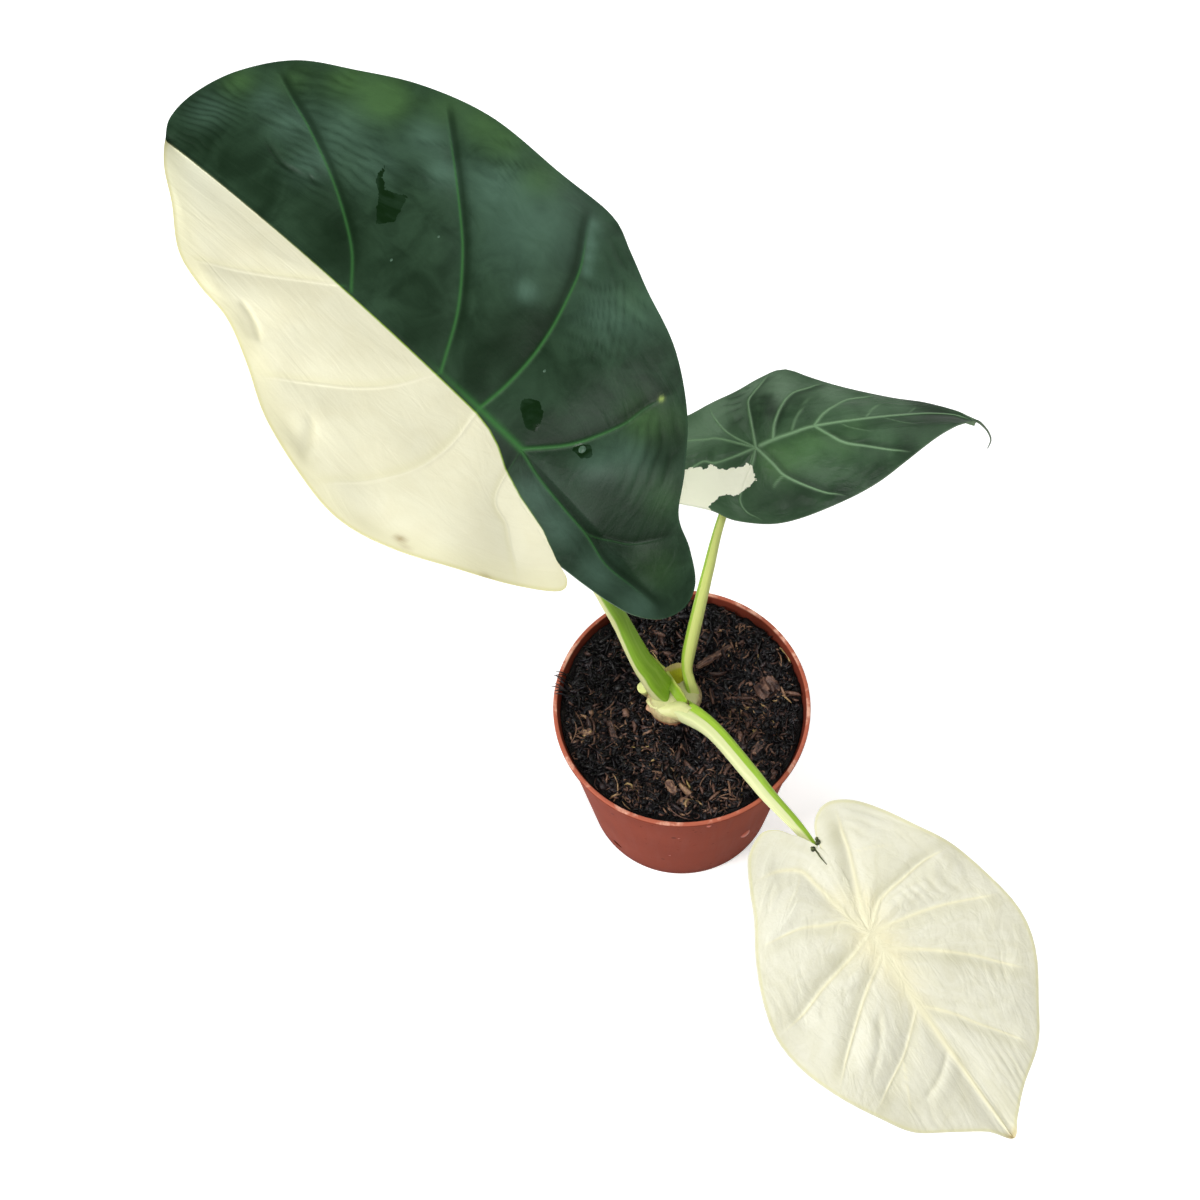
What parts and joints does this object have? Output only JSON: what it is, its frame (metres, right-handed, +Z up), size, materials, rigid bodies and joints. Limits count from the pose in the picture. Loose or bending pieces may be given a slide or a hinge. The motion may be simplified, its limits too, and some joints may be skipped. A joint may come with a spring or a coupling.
{
  "type": "potted variegated elephant ear plant",
  "caption": "Aroid house plant with broad shield-shaped leaves, half green and half cream, on long stalks in a round plastic nursery pot of peat.",
  "frame": {"origin": "centre of the pot's flat base, on the surface that the pot stands on", "axes": "+Z up along the pot's axis, -Y the front that the picture looks from, +X to the right; the large leaf points to the back left and the pale leaf to the front right"},
  "size_m": [0.3649, 0.4551, 0.2797],
  "materials": {
    "pot_plastic": "thin terracotta-coloured nursery plastic with a satin sheen and light scuffs",
    "peat": "moist dark peat with fibres and bark bits",
    "corm_skin": "olive and tan skin with ring scars",
    "stalk_green": "smooth fleshy green stalk with cream stripes, slightly waxy",
    "stalk_cream": "smooth fleshy stalk, cream below and yellow-green above",
    "leaf_half_green": "dark waxy green and plain cream, divided along the midrib",
    "leaf_green": "satin green with paler ribs and one cream patch",
    "leaf_cream": "ivory leaf with yellowish ribs and margin"
  },
  "bodies": {
    "root": {"pot": "pot_plastic", "soil": "peat", "corm": "corm_skin", "leaf_stalk_large": "stalk_green", "leaf_stalk_middle": "stalk_green", "leaf_stalk_pale": "stalk_cream", "leaf_blade_large": "leaf_half_green", "leaf_blade_middle": "leaf_green", "leaf_blade_pale": "leaf_cream"}
  },
  "joints": []
}
